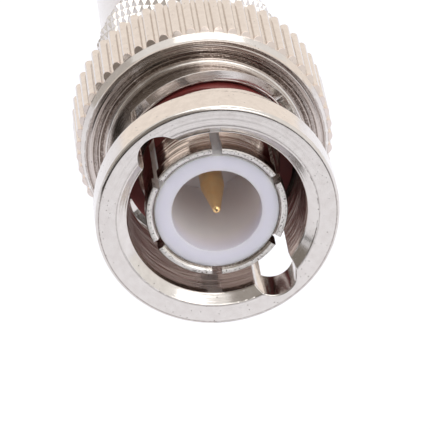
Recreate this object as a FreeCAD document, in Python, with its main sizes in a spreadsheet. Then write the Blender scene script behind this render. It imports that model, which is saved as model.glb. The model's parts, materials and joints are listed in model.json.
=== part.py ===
"""Bayonet coaxial plug from the end of a test lead, with every piece that it holds.

Units are millimetres. The connector's axis lies along Y, its mating face looks towards -Y, and Z is up.
Depths are measured behind the front face of the coupling nut. Each piece is then moved forward by
reference_depth, so that the origin lies on the axis in the plane where the socket's rim seats.
"""
import FreeCAD, Part
import math
import os
import Sketcher

SIZES = {
    # Fits shared by the pieces
    "running_play": 0.08,  # radial play of the nut and its washers on the body
    "seating_gap": 0.02,  # gap between pieces that only lie against each other
    "assembly_play": 0.05,  # radial play of pieces that are pushed together once
    "reference_depth": 6.3,  # nut face to the plane where the socket's rim seats
    "hub_radius": 3.95,  # hub that carries the washers and the back shell
    # Coupling nut
    "nut_length": 13.2,  # overall length of the nut
    "gasket_play": 0.15,  # radial gap from the face gasket to the nut's bore
    "mouth_flare": 0.6,  # how much wider than the bore the lead-in starts
    "mouth_depth": 0.74,  # depth at which the lead-in ends in the bore
    "throat_flare_share": 0.12,  # share of the flare that is left where the lead-in turns steeper
    "throat_depth_share": 0.6,  # share of the lead-in's depth in front of that place
    "mouth_edge": 0.1,  # rounding of the edge between the front face and the lead-in
    "neck_wall": 0.65,  # wall of the neck round the bore
    "ring_height": 1.15,  # how far the front ring stands out from the neck
    "ring_length": 2.15,  # front ring, along the axis
    "ring_round": 0.2,  # rounding of the front ring's outer edges
    "knurl_face_depth": 8.1,  # rim of the flat face in front of the knurl
    "knurl_face_lean": 0.08,  # how far that face stands forward where it meets the neck
    "knurl_face_fillet": 0.12,  # fillet between the neck and that face
    "knurl_rim_height": 0.22,  # bevel round that face, across
    "knurl_rim_length": 0.6,  # the same bevel, along the axis
    "shoulder_height": 1.45,  # how far the knurl's root stands out from the neck
    "lobe_height": 0.25,  # how far the knurl's teeth stand out from their root
    "first_lobe_angle": 1.5,  # middle of one tooth, from +X towards +Z
    "lobe_width": 0.58,  # one rounded tooth of the knurl at its root
    "lobe_count": 57,  # teeth round the nut
    "nut_rear_chamfer": 0.2,  # chamfer of the knurl's root at the back
    "pocket_step": 0.9,  # how much wider than the bore the nut's rear pocket is
    "shoulder_length": 0.9,  # inner shoulder that the spring pushes on
    # Bayonet grooves and cam slots of the nut
    "entry_angle": 129.5,  # first entry groove, from +X towards +Z
    "entry_inset": 0.02,  # how far inside the bore's wall the round groove has its centre
    "entry_round": 1.25,  # radius of the round entry groove
    "entry_edge": 0.07,  # rounding of the entry groove's rim
    "slot_width": 2.2,  # width of the cam slot, for a stud of 2 mm
    "slot_start_depth": 5.05,  # middle of the cam slot at the entry groove
    "slot_rise": 1.45,  # how much deeper the cam slot is at its end
    "slot_turn": 90.0,  # how far the nut turns to lock, in degrees
    "detent_rise": 0.3,  # how far the stud drops forward into its notch
    "stud_count": 2,  # studs on the socket
    # Outer contact, a slotted sleeve
    "contact_step": 0.05,  # how much wider than the hub the contact's base is
    "base_step": 0.25,  # how far the base stands out from the fingers
    "finger_wall": 0.29,  # wall of the spring fingers
    "lip_height": 0.16,  # how far the lip stands out from the fingers
    "lip_length": 1.0,  # raised lip, along the axis
    "lip_depth": 0.55,  # front of the contact fingers
    "tip_bevel": 0.18,  # bevel inside the fingers' front ends
    "tip_round": 0.13,  # rounding outside the fingers' front ends
    "finger_slot_width": 0.54,  # slots between the fingers
    "finger_slot_end": 5.6,  # depth at which the slots end
    "finger_angle": 30.0,  # first slot, from +X towards +Z
    "finger_count": 6,  # fingers of the outer contact
    "contact_seat_length": 1.0,  # how deep the contact is pressed into the body
    # Front gasket
    "gasket_thickness": 1.4,  # face gasket, along the axis
    "gasket_width": 0.73,  # face gasket, across its ring
    # Plug body
    "flange_length": 1.3,  # flange behind the gasket
    "hub_wall": 0.95,  # wall of the hub round the insulators
    "clamp_step": 0.3,  # how much wider the rear bore for the cable clamp is
    "clamp_pocket": 6.0,  # depth of that rear bore, from the body's back end
    "groove_play": 0.05,  # how much wider a groove is than its ring
    # Coupling spring, its washers and the retaining ring
    "spring_height": 1.1,  # height of the relaxed wave washer
    "spring_thickness": 0.25,  # strip of the wave washer
    "wave_count": 3,  # waves round the wave washer
    "washer_play": 0.18,  # radial play of the washers in the nut's bore
    "washer_thickness": 0.3,  # flat washers
    "slip_play": 0.3,  # radial play of the slip washer in the nut's pocket
    "clip_thickness": 0.5,  # retaining ring, along the axis
    "clip_bite": 0.35,  # how far the retaining ring reaches into the hub
    "clip_rise": 0.7,  # how far the retaining ring stands out from the hub
    "clip_gap_angle": 36.0,  # opening of the retaining ring, in degrees
    # Front insulator
    "insulator_depth": 0.7,  # front face of the insulator
    "insulator_gap": 0.03,  # gap between the fingers and the insulator inside them
    "insulator_wall": 0.94,  # wall of the cup round the centre pin
    "insulator_floor_depth": 8.2,  # floor of the cup
    "spigot_length": 1.4,  # rear spigot of the insulator in the body
    # Centre pin
    "pin_tip_depth": 0.75,  # tip of the centre pin
    "pin_tip_radius": 0.23,  # ball end of the centre pin
    "pin_taper_depth": 3.65,  # end of the pin's taper
    "pin_radius": 0.66,  # centre pin
    "stem_step": 0.2,  # how much thicker the pin is inside the insulator
    "collar_step": 0.44,  # how far the pin's collar stands out from its stem
    "pin_collar_length": 0.6,  # collar, along the axis
    "cup_bore": 0.55,  # solder cup, inside
    "cup_wall": 0.4,  # wall of the solder cup
    "cup_reach": 2.2,  # how far the solder cup stands out of the rear insulator
    "cup_hole_depth": 3.2,  # how deep the wire goes into the cup
    "cup_window_radius": 0.35,  # window for the solder
    # Cable clamp and gland
    "clamp_taper": 0.8,  # how much narrower the braid clamp's front end is
    "clamp_wall": 0.5,  # wall of the braid clamp at its front end
    "clamp_cone_length": 1.6,  # cone that the braid lies on
    "clamp_rim_length": 0.7,  # rim of the braid clamp
    "clamp_edge_length": 0.5,  # edge that bites into the cable gasket
    "gland_wall": 0.75,  # cable gasket and its washer, across the ring
    "cable_gasket_length": 1.9,  # cable gasket, along the axis
    "gland_washer_thickness": 0.45,  # washer behind the cable gasket
    # Back shell
    "shell_gap": 0.5,  # from the nut's back edge to the shell
    "shell_length": 19.3,  # back shell, along the axis
    "shell_engagement": 5.2,  # how far the shell screws over the body
    "grip_wall": 1.5,  # wall of the knurled grip round the thread
    "grip_length": 6.4,  # knurled grip, along the axis
    "grip_bevel": 1.5,  # bevel behind the grip, along the axis
    "grip_groove_depth": 0.28,  # depth of the grip's grooves
    "grip_count": 37,  # grooves round the grip
    "cable_play": 0.25,  # how much wider the cable entry is than the gasket's bore
    "barrel_wall": 2.12,  # wall of the smooth barrel round the cable
    "barrel_round": 0.8,  # rounding of the barrel's back edge
    "entry_flare": 0.6,  # flare of the cable entry
    "seal_section": 0.35,  # section radius of the seal ring
    "seal_depth": 1.1,  # seal ring, behind the shell's front edge
}


CLOSE = 1e-4  # how closely an edge has to lie where it is looked for


class Size:
    """A number and the sheet formula that it comes from."""

    def __init__(self, value, formula):
        self.value = value
        self.formula = formula

    def joined(self, other, sign, value):
        formula = other.formula if isinstance(other, Size) else repr(other)
        return Size(value, f"({self.formula} {sign} {formula})")

    def __add__(self, other):
        return self.joined(other, "+", self.value + number(other))

    def __sub__(self, other):
        return self.joined(other, "-", self.value - number(other))

    def __mul__(self, other):
        return self.joined(other, "*", self.value * number(other))

    def __truediv__(self, other):
        return self.joined(other, "/", self.value / number(other))


class Sheet:
    """The document's sheet of driving dimensions, each of which is read by its name."""

    def __init__(self, sizes):
        self.cells = doc.addObject("Spreadsheet::Sheet", "Sizes")
        for row, (alias, value) in enumerate(sizes.items(), start=1):
            self.cells.set(f"A{row}", alias)
            self.cells.set(f"B{row}", str(value))
            self.cells.setAlias(f"B{row}", alias)
        doc.recompute()

    def __getattr__(self, alias):
        return Size(float(self.cells.get(alias)), f"Sizes.{alias}")


def number(size):
    """The plain value of a Size or a number."""
    return size.value if isinstance(size, Size) else float(size)


doc = FreeCAD.newDocument("BayonetPlug")
dim = Sheet(SIZES)

# Radii worked out from the hub outwards
washer_bore = dim.hub_radius + dim.running_play
contact_base_radius = dim.hub_radius + dim.contact_step
gasket_bore = contact_base_radius + dim.seating_gap
gasket_radius = gasket_bore + dim.gasket_width
bore_radius = gasket_radius + dim.gasket_play
mouth_radius = bore_radius + dim.mouth_flare
throat_radius = bore_radius + dim.mouth_flare * dim.throat_flare_share
throat_depth = dim.mouth_depth * dim.throat_depth_share
neck_radius = bore_radius + dim.neck_wall
ring_radius = neck_radius + dim.ring_height
band_radius = neck_radius + dim.shoulder_height
knurl_rim_radius = band_radius - dim.knurl_rim_height
knurl_radius = band_radius + dim.lobe_height
nut_pocket_radius = bore_radius + dim.pocket_step
flange_radius = bore_radius - dim.running_play
washer_radius = bore_radius - dim.washer_play
slip_radius = nut_pocket_radius - dim.slip_play
clip_radius = dim.hub_radius + dim.clip_rise
thread_bore = dim.hub_radius + dim.assembly_play
seal_root = dim.hub_radius + dim.seating_gap + dim.seal_section * 2 + dim.seating_gap
grip_radius = thread_bore + dim.grip_wall

# Radii worked out from the hub inwards
finger_radius = contact_base_radius - dim.base_step
lip_radius = finger_radius + dim.lip_height
finger_bore = finger_radius - dim.finger_wall
insulator_radius = finger_bore - dim.insulator_gap
insulator_bore = insulator_radius - dim.insulator_wall
clip_inner_radius = dim.hub_radius - dim.clip_bite
body_bore = dim.hub_radius - dim.hub_wall
clamp_bore = body_bore + dim.clamp_step
clamp_radius = clamp_bore - dim.assembly_play
clamp_nose_radius = clamp_radius - dim.clamp_taper
clamp_inner_radius = clamp_nose_radius - dim.clamp_wall
cable_gasket_bore = clamp_radius - dim.gland_wall
cable_radius = cable_gasket_bore + dim.cable_play
barrel_radius = cable_radius + dim.barrel_wall
grip_fade = dim.grip_length + dim.grip_groove_depth * dim.grip_bevel / (grip_radius - barrel_radius)
pin_stem_radius = dim.pin_radius + dim.stem_step
pin_collar_radius = pin_stem_radius + dim.collar_step
cup_radius = dim.cup_bore + dim.cup_wall

# Depths worked out from the mating face backwards
knurl_face_root = dim.knurl_face_depth - dim.knurl_face_lean
knurl_depth = dim.knurl_face_depth + dim.knurl_rim_length
gasket_front = dim.reference_depth
flange_front = gasket_front + dim.gasket_thickness
flange_back = flange_front + dim.flange_length
thrust_front = flange_back + dim.spring_height + dim.seating_gap
thrust_back = thrust_front + dim.washer_thickness
shoulder_front = thrust_back + dim.seating_gap
shoulder_back = shoulder_front + dim.shoulder_length
slip_front = shoulder_back + dim.seating_gap
slip_back = slip_front + dim.washer_thickness
clip_front = slip_back + dim.seating_gap
clip_back = clip_front + dim.clip_thickness
contact_back = flange_front + dim.contact_seat_length
spigot_back = contact_back + dim.spigot_length
collar_back = spigot_back + dim.pin_collar_length

# Depths worked out from the nut's back edge
shell_front = dim.nut_length + dim.shell_gap
shell_back = shell_front + dim.shell_length
seal_middle = shell_front + dim.seal_depth
body_back = shell_front + dim.shell_engagement
shell_floor = body_back + dim.seating_gap
rear_insulator_back = body_back - dim.clamp_pocket
cup_back = rear_insulator_back + dim.cup_reach
clamp_front = rear_insulator_back + dim.seating_gap
clamp_rim_front = clamp_front + dim.clamp_cone_length
clamp_rim_back = clamp_rim_front + dim.clamp_rim_length
clamp_edge_back = clamp_rim_back + dim.clamp_edge_length
cable_gasket_front = clamp_rim_back + dim.seating_gap
cable_gasket_back = cable_gasket_front + dim.cable_gasket_length
gland_back = cable_gasket_back + dim.seating_gap + dim.gland_washer_thickness
shell_step_front = gland_back + dim.seating_gap
pieces = []


def origin_plane(body, role):
    """The body's own origin plane or axis with this role."""
    for feature in body.Origin.OriginFeatures:
        if feature.Role == role:
            return feature
    raise ValueError(role)


def bind(thing, path, size):
    """Binds a property to the sheet if its value comes from there."""
    if isinstance(size, Size):
        thing.setExpression(path, size.formula)


def new_body(label):
    """An empty body that stands on the part's reference plane."""
    body = doc.addObject("PartDesign::Body", label)
    body.Label = label
    body.Placement.Base.y = -dim.reference_depth.value
    body.setExpression("Placement.Base.y", f"-{dim.reference_depth.formula}")
    pieces.append(body)
    return body


def new_sketch(body, role, name, turn=0.0, depth=0.0):
    """A sketch on an origin plane, turned in that plane and set back by a depth along its normal."""
    sketch = body.newObject("Sketcher::SketchObject", f"{body.Label}_{name}")
    sketch.AttachmentSupport = [(origin_plane(body, role), "")]
    sketch.MapMode = "FlatFace"
    spin = FreeCAD.Rotation(FreeCAD.Vector(0, 0, 1), number(turn))
    sketch.AttachmentOffset = FreeCAD.Placement(FreeCAD.Vector(0, 0, -number(depth)), spin)
    bind(sketch, "AttachmentOffset.Rotation.Angle", turn)
    if isinstance(depth, Size):
        sketch.setExpression("AttachmentOffset.Base.z", f"-{depth.formula}")
    return sketch


def fix_point(sketch, geometry, end, across, along):
    """Holds one point of the sketch at its two distances from the origin."""
    for kind, size in (("DistanceX", across), ("DistanceY", along)):
        if number(size) == 0 and not isinstance(size, Size):
            line = -2 if kind == "DistanceX" else -1
            sketch.addConstraint(Sketcher.Constraint("PointOnObject", geometry, end, line))
            continue
        index = sketch.addConstraint(Sketcher.Constraint(kind, -1, 1, geometry, end, number(size)))
        bind(sketch, f"Constraints[{index}]", size)


def outline(sketch, points):
    """A closed outline of straight lines through points given as (across, along)."""
    places = [FreeCAD.Vector(number(across), number(along), 0) for across, along in points]
    for start, end in zip(places, places[1:] + places[:1]):
        sketch.addGeometry(Part.LineSegment(start, end), False)
    for index in range(len(points)):
        following = (index + 1) % len(points)
        sketch.addConstraint(Sketcher.Constraint("Coincident", index, 2, following, 1))
    for index, (across, along) in enumerate(points):
        fix_point(sketch, index, 1, across, along)


def circle(sketch, across, along, radius):
    """A circle with its centre at (across, along)."""
    middle = FreeCAD.Vector(number(across), number(along), 0)
    index = sketch.addGeometry(Part.Circle(middle, FreeCAD.Vector(0, 0, 1), number(radius)), False)
    fix_point(sketch, index, 3, across, along)
    constraint = sketch.addConstraint(Sketcher.Constraint("Radius", index, number(radius)))
    bind(sketch, f"Constraints[{constraint}]", radius)


def revolve(body, points, name="profile", angle=360.0):
    """Turns an outline, given as (radius, depth) points, about the plug's axis."""
    sketch = new_sketch(body, "XY_Plane", name)
    outline(sketch, points)
    turned = body.newObject("PartDesign::Revolution", f"{body.Label}_{name}_turned")
    turned.Profile = sketch
    turned.ReferenceAxis = (sketch, ["V_Axis"])
    turned.Angle = number(angle)
    bind(turned, "Angle", angle)
    sketch.Visibility = False
    doc.recompute()
    return turned


def turn_off(body, points, name):
    """Cuts an outline, given as (radius, depth) points, away all round the plug's axis."""
    before = body.Shape.Volume
    sketch = new_sketch(body, "XY_Plane", name)
    outline(sketch, points)
    cut = body.newObject("PartDesign::Groove", f"{body.Label}_{name}_cut")
    cut.Profile = sketch
    cut.ReferenceAxis = (sketch, ["V_Axis"])
    cut.Angle = 360.0
    sketch.Visibility = False
    doc.recompute()
    if body.Shape.Volume >= before:
        raise ValueError(f"{name} cuts nothing")
    return cut


def rounded(body, rings, size):
    """Rounds the circular edges found at these (radius, depth) places."""
    base = body.Tip
    wanted = []
    for index, edge in enumerate(base.Shape.Edges):
        curve = edge.Curve
        if not isinstance(curve, Part.Circle):
            continue
        for radius, depth in rings:
            if abs(curve.Radius - number(radius)) < CLOSE and abs(curve.Center.y - number(depth)) < CLOSE:
                wanted.append(f"Edge{index + 1}")
    fillet = body.newObject("PartDesign::Fillet", f"{body.Label}_rounding")
    fillet.Base = (base, wanted)
    fillet.Radius = number(size)
    bind(fillet, "Radius", size)
    doc.recompute()
    return fillet


def pocket(body, sketch, length, forward=False):
    """Cuts a sketch backwards into the piece, or along the sketch's normal, and checks that it cut."""
    before = body.Shape.Volume
    cut = body.newObject("PartDesign::Pocket", f"{sketch.Name}_cut")
    cut.Profile = sketch
    cut.Length = number(length)
    cut.Reversed = forward
    bind(cut, "Length", length)
    sketch.Visibility = False
    doc.recompute()
    if body.Shape.Volume >= before:
        raise ValueError(f"{sketch.Name} cuts nothing")
    return cut


def round_axis(body, features, count, name):
    """Repeats features evenly round the plug's axis."""
    pattern = body.newObject("PartDesign::PolarPattern", f"{body.Label}_{name}")
    pattern.Originals = features
    pattern.Axis = (origin_plane(body, "Y_Axis"), [""])
    pattern.Angle = 360.0
    pattern.Occurrences = int(number(count))
    bind(pattern, "Occurrences", count)
    body.Tip = pattern
    doc.recompute()
    return pattern


def radial_sketch(body, name, angle):
    """A sketch in the plane through the axis whose normal points outwards at this angle."""
    sketch = new_sketch(body, "XY_Plane", name)
    tilt = FreeCAD.Rotation(FreeCAD.Vector(0, 1, 0), 90.0 - number(angle))
    sketch.AttachmentOffset = FreeCAD.Placement(FreeCAD.Vector(0, 0, 0), tilt)
    if isinstance(angle, Size):
        sketch.setExpression("AttachmentOffset.Rotation.Angle", f"90 - {angle.formula}")
    return sketch


def axial_plane_sketch(body, name, angle):
    """A sketch in the plane through the axis that holds this angle."""
    sketch = new_sketch(body, "XY_Plane", name)
    tilt = FreeCAD.Rotation(FreeCAD.Vector(0, -1, 0), number(angle))
    sketch.AttachmentOffset = FreeCAD.Placement(FreeCAD.Vector(0, 0, 0), tilt)
    bind(sketch, "AttachmentOffset.Rotation.Angle", angle)
    return sketch


def round_groove_rims(body):
    """Rounds the rim of each entry groove, in the nut's front face and in the lead-in."""
    base = body.Tip
    centre_radius = (bore_radius - dim.entry_inset).value
    wanted = []
    for index, edge in enumerate(base.Shape.Edges):
        middle = edge.valueAt((edge.FirstParameter + edge.LastParameter) / 2)
        if not -CLOSE < middle.y < dim.mouth_depth.value - CLOSE:
            continue
        for stud in range(int(dim.stud_count.value)):
            turn = math.radians(dim.entry_angle.value + 360 * stud / dim.stud_count.value)
            across = middle.x - centre_radius * math.cos(turn)
            upright = middle.z - centre_radius * math.sin(turn)
            if abs(math.hypot(across, upright) - dim.entry_round.value) < CLOSE:
                wanted.append(f"Edge{index + 1}")
    fillet = body.newObject("PartDesign::Fillet", f"{body.Label}_groove_rims")
    fillet.Base = (base, wanted)
    fillet.Radius = dim.entry_edge.value
    bind(fillet, "Radius", dim.entry_edge)
    doc.recompute()


def coupling_nut():
    """The bayonet nut: ring, slotted neck and knurl, with a spring seat inside."""
    body = new_body("coupling_nut")
    revolve(body, [
        (mouth_radius, 0),
        (ring_radius, 0),
        (ring_radius, dim.ring_length),
        (neck_radius, dim.ring_length),
        (neck_radius, knurl_face_root),
        (knurl_rim_radius, dim.knurl_face_depth),
        (band_radius, knurl_depth),
        (band_radius, dim.nut_length - dim.nut_rear_chamfer),
        (band_radius - dim.nut_rear_chamfer, dim.nut_length),
        (nut_pocket_radius, dim.nut_length),
        (nut_pocket_radius, shoulder_back),
        (washer_bore, shoulder_back),
        (washer_bore, shoulder_front),
        (bore_radius, shoulder_front),
        (bore_radius, dim.mouth_depth),
        (throat_radius, throat_depth),
    ])
    rounded(body, [(ring_radius, 0), (ring_radius, dim.ring_length)], dim.ring_round)
    rounded(body, [(neck_radius, knurl_face_root)], dim.knurl_face_fillet)
    rounded(body, [(mouth_radius, 0)], dim.mouth_edge)

    entry = new_sketch(body, "XZ_Plane", "entry", turn=dim.entry_angle)
    circle(entry, bore_radius - dim.entry_inset, 0, dim.entry_round)
    entry_groove = pocket(body, entry, dim.slot_start_depth + dim.slot_width / 2)

    track = axial_plane_sketch(body, "slot_track", dim.entry_angle)
    outline(track, [
        (bore_radius - dim.running_play, dim.slot_start_depth - dim.slot_width / 2),
        (neck_radius + dim.running_play, dim.slot_start_depth - dim.slot_width / 2),
        (neck_radius + dim.running_play, dim.slot_start_depth + dim.slot_width / 2),
        (bore_radius - dim.running_play, dim.slot_start_depth + dim.slot_width / 2),
    ])
    cam = body.newObject("PartDesign::SubtractiveHelix", "coupling_nut_cam_slot")
    cam.Profile = track
    cam.ReferenceAxis = (track, ["V_Axis"])
    cam.Mode = "height-turns-angle"
    cam.Height = dim.slot_rise.value
    cam.Turns = dim.slot_turn.value / 360
    cam.LeftHanded = False
    cam.setExpression("Height", dim.slot_rise.formula)
    cam.setExpression("Turns", f"{dim.slot_turn.formula} / 360")
    track.Visibility = False
    doc.recompute()

    end_angle = dim.entry_angle - dim.slot_turn
    end_depth = dim.slot_start_depth + dim.slot_rise
    slot_ends = []
    for name, depth in (("slot_end", end_depth), ("detent", end_depth - dim.detent_rise)):
        sketch = radial_sketch(body, name, end_angle)
        circle(sketch, 0, depth, dim.slot_width / 2)
        slot_ends.append(pocket(body, sketch, ring_radius, forward=True))
    round_axis(body, [entry_groove, cam] + slot_ends, dim.stud_count, "bayonet")
    round_groove_rims(body)

    half_tooth = dim.lobe_width / 2
    lobe_round = (half_tooth * half_tooth + dim.lobe_height * dim.lobe_height) / (dim.lobe_height * 2)
    tooth = new_sketch(body, "XZ_Plane", "tooth", turn=dim.first_lobe_angle, depth=knurl_depth)
    circle(tooth, knurl_radius - lobe_round, 0, lobe_round)
    lobe = body.newObject("PartDesign::Pad", "coupling_nut_lobe")
    lobe.Profile = tooth
    lobe.Length = (dim.nut_length - knurl_depth - dim.nut_rear_chamfer).value
    lobe.Reversed = True
    bind(lobe, "Length", dim.nut_length - knurl_depth - dim.nut_rear_chamfer)
    tooth.Visibility = False
    doc.recompute()
    round_axis(body, [lobe], dim.lobe_count, "knurl")
    bevel_root = band_radius + dim.seating_gap
    bevel_top = knurl_radius + dim.lobe_height
    turn_off(body, [
        (bevel_root, knurl_depth),
        (bevel_top, knurl_depth - dim.seating_gap),
        (bevel_top, knurl_depth + bevel_top - bevel_root),
    ], "tooth_bevel")


def outer_contact():
    """The sleeve of spring fingers that goes inside the socket's shell."""
    body = new_body("outer_contact")
    revolve(body, [
        (finger_bore, dim.lip_depth + dim.tip_bevel),
        (finger_bore + dim.tip_bevel, dim.lip_depth),
        (lip_radius, dim.lip_depth),
        (lip_radius, dim.lip_depth + dim.lip_length),
        (finger_radius, dim.lip_depth + dim.lip_length + dim.lip_height),
        (finger_radius, dim.reference_depth - dim.base_step),
        (contact_base_radius, dim.reference_depth),
        (contact_base_radius, contact_back),
        (finger_bore, contact_back),
    ])
    rounded(body, [(lip_radius, dim.lip_depth)], dim.tip_round)
    slot = new_sketch(body, "XZ_Plane", "finger_slot", turn=dim.finger_angle)
    half = dim.finger_slot_width / 2
    outline(slot, [
        (body_bore, half * -1),
        (ring_radius, half * -1),
        (ring_radius, half),
        (body_bore, half),
    ])
    cut = pocket(body, slot, dim.finger_slot_end)
    round_axis(body, [cut], dim.finger_count, "fingers")


def face_gasket():
    """The soft ring that the socket's rim presses on."""
    body = new_body("face_gasket")
    revolve(body, [
        (gasket_bore, gasket_front),
        (gasket_radius, gasket_front),
        (gasket_radius, flange_front - dim.seating_gap),
        (gasket_bore, flange_front - dim.seating_gap),
    ])


def plug_body():
    """The body: flange, hub with its ring groove, and the land that the back shell screws onto."""
    body = new_body("plug_body")
    groove_radius = clip_inner_radius - dim.groove_play
    revolve(body, [
        (contact_base_radius, flange_front),
        (flange_radius, flange_front),
        (flange_radius, flange_back),
        (dim.hub_radius, flange_back),
        (dim.hub_radius, clip_front - dim.groove_play),
        (groove_radius, clip_front - dim.groove_play),
        (groove_radius, clip_back + dim.groove_play),
        (dim.hub_radius, clip_back + dim.groove_play),
        (dim.hub_radius, body_back),
        (clamp_bore, body_back),
        (clamp_bore, rear_insulator_back),
        (body_bore, rear_insulator_back),
        (body_bore, contact_back),
        (contact_base_radius, contact_back),
    ])


def wave_washer():
    """The spring that holds the nut back: a flat strip that rises and falls round the ring."""
    middle_radius = (washer_bore.value + dim.running_play.value + washer_radius.value) / 2
    half_width = (washer_radius.value - washer_bore.value - dim.running_play.value) / 2
    half_strip = dim.spring_thickness.value / 2
    swing = dim.spring_height.value / 2 - half_strip
    middle_depth = flange_back.value + dim.spring_height.value / 2 + dim.seating_gap.value / 2
    steps = 12 * int(dim.wave_count.value)
    places = []
    for step in range(steps):
        turn = 2 * math.pi * step / steps
        rise = swing * math.cos(dim.wave_count.value * turn)
        places.append(FreeCAD.Vector(middle_radius * math.cos(turn), rise, middle_radius * math.sin(turn)))
    curve = Part.BSplineCurve()
    curve.interpolate(places, PeriodicFlag=True)
    corners = [
        FreeCAD.Vector(middle_radius + across, swing + along, 0)
        for across, along in (
            (-half_width, -half_strip),
            (half_width, -half_strip),
            (half_width, half_strip),
            (-half_width, half_strip),
        )
    ]
    strip = Part.makePolygon(corners + corners[:1])
    shell = Part.BRepOffsetAPI.MakePipeShell(Part.Wire(curve.toShape()))
    shell.setBiNormalMode(FreeCAD.Vector(0, 1, 0))
    shell.add(strip)
    shell.build()
    shell.makeSolid()
    washer = doc.addObject("Part::Feature", "wave_washer")
    washer.Label = "wave_washer"
    washer.Shape = shell.shape()
    washer.Placement = FreeCAD.Placement(
        FreeCAD.Vector(0, middle_depth - dim.reference_depth.value, 0), FreeCAD.Rotation()
    )
    pieces.append(washer)


def flat_washers():
    """The thrust washer in front of the nut's shoulder and the slip washer behind it."""
    for label, front, radius in (
        ("thrust_washer", thrust_front, washer_radius),
        ("slip_washer", slip_front, slip_radius),
    ):
        body = new_body(label)
        revolve(body, [
            (washer_bore, front),
            (radius, front),
            (radius, front + dim.washer_thickness),
            (washer_bore, front + dim.washer_thickness),
        ])


def retaining_ring():
    """The open ring that snaps into the hub and keeps the nut on."""
    body = new_body("retaining_ring")
    revolve(body, [
        (clip_inner_radius, clip_front),
        (clip_radius, clip_front),
        (clip_radius, clip_back),
        (clip_inner_radius, clip_back),
    ], angle=Size(360.0, "360") - dim.clip_gap_angle)


def front_insulator():
    """The cup of white insulation round the centre pin."""
    body = new_body("front_insulator")
    spigot_radius = body_bore - dim.seating_gap
    revolve(body, [
        (insulator_bore, dim.insulator_depth),
        (insulator_radius, dim.insulator_depth),
        (insulator_radius, contact_back - dim.seating_gap),
        (spigot_radius, contact_back - dim.seating_gap),
        (spigot_radius, spigot_back),
        (pin_stem_radius + dim.seating_gap, spigot_back),
        (pin_stem_radius + dim.seating_gap, dim.insulator_floor_depth),
        (insulator_bore, dim.insulator_floor_depth),
    ])


def rear_insulator():
    """The bush that holds the pin's collar against the front insulator."""
    body = new_body("rear_insulator")
    outside = body_bore - dim.seating_gap
    revolve(body, [
        (pin_collar_radius + dim.seating_gap, spigot_back + dim.seating_gap),
        (outside, spigot_back + dim.seating_gap),
        (outside, rear_insulator_back),
        (cup_radius + dim.seating_gap, rear_insulator_back),
        (cup_radius + dim.seating_gap, collar_back + dim.seating_gap),
        (pin_collar_radius + dim.seating_gap, collar_back + dim.seating_gap),
    ])


def centre_pin():
    """The gilt pin: rounded tip, taper, collar and a solder cup with its window."""
    body = new_body("centre_pin")
    revolve(body, [
        (0, dim.pin_tip_depth),
        (dim.pin_tip_radius, dim.pin_tip_depth),
        (dim.pin_tip_radius, dim.pin_tip_depth + dim.pin_tip_radius),
        (dim.pin_radius, dim.pin_taper_depth),
        (dim.pin_radius, dim.insulator_floor_depth - dim.seating_gap),
        (pin_stem_radius, dim.insulator_floor_depth - dim.seating_gap),
        (pin_stem_radius, spigot_back + dim.seating_gap),
        (pin_collar_radius, spigot_back + dim.seating_gap),
        (pin_collar_radius, collar_back),
        (cup_radius, collar_back),
        (cup_radius, cup_back),
        (dim.cup_bore, cup_back),
        (dim.cup_bore, cup_back - dim.cup_hole_depth),
        (0, cup_back - dim.cup_hole_depth),
    ])
    rounded(body, [(dim.pin_tip_radius, dim.pin_tip_depth)], dim.pin_tip_radius - dim.seating_gap)
    window = radial_sketch(body, "window", 90.0)
    circle(window, 0, cup_back - dim.cup_hole_depth + dim.cup_window_radius * 2, dim.cup_window_radius)
    pocket(body, window, pin_collar_radius, forward=True)


def seal_ring():
    """The round seal between the hub and the back shell."""
    body = new_body("shell_seal")
    sketch = new_sketch(body, "XY_Plane", "section")
    circle(sketch, dim.hub_radius + dim.seating_gap + dim.seal_section, seal_middle, dim.seal_section)
    ring = body.newObject("PartDesign::Revolution", "shell_seal_turned")
    ring.Profile = sketch
    ring.ReferenceAxis = (sketch, ["V_Axis"])
    ring.Angle = 360.0
    sketch.Visibility = False
    doc.recompute()


def braid_clamp():
    """The cone that grips the cable's braid, with the edge that bites into the gasket."""
    body = new_body("braid_clamp")
    edge_radius = (clamp_radius + cable_gasket_bore) / 2
    revolve(body, [
        (clamp_inner_radius, clamp_front),
        (clamp_nose_radius, clamp_front),
        (clamp_radius, clamp_rim_front),
        (clamp_radius, clamp_rim_back),
        (edge_radius, clamp_edge_back),
        (cable_gasket_bore, clamp_rim_back),
        (clamp_inner_radius, clamp_rim_back),
    ])


def cable_gasket():
    """The rubber ring that closes on the cable, grooved for the clamp's edge."""
    body = new_body("cable_gasket")
    edge_radius = (clamp_radius + cable_gasket_bore) / 2
    revolve(body, [
        (cable_gasket_bore, cable_gasket_front),
        (edge_radius, clamp_edge_back + dim.seating_gap),
        (clamp_radius, cable_gasket_front),
        (clamp_radius, cable_gasket_back),
        (cable_gasket_bore, cable_gasket_back),
    ])


def gland_washer():
    """The washer that the back shell presses on."""
    body = new_body("gland_washer")
    revolve(body, [
        (cable_gasket_bore, cable_gasket_back + dim.seating_gap),
        (clamp_radius, cable_gasket_back + dim.seating_gap),
        (clamp_radius, gland_back),
        (cable_gasket_bore, gland_back),
    ])


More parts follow.
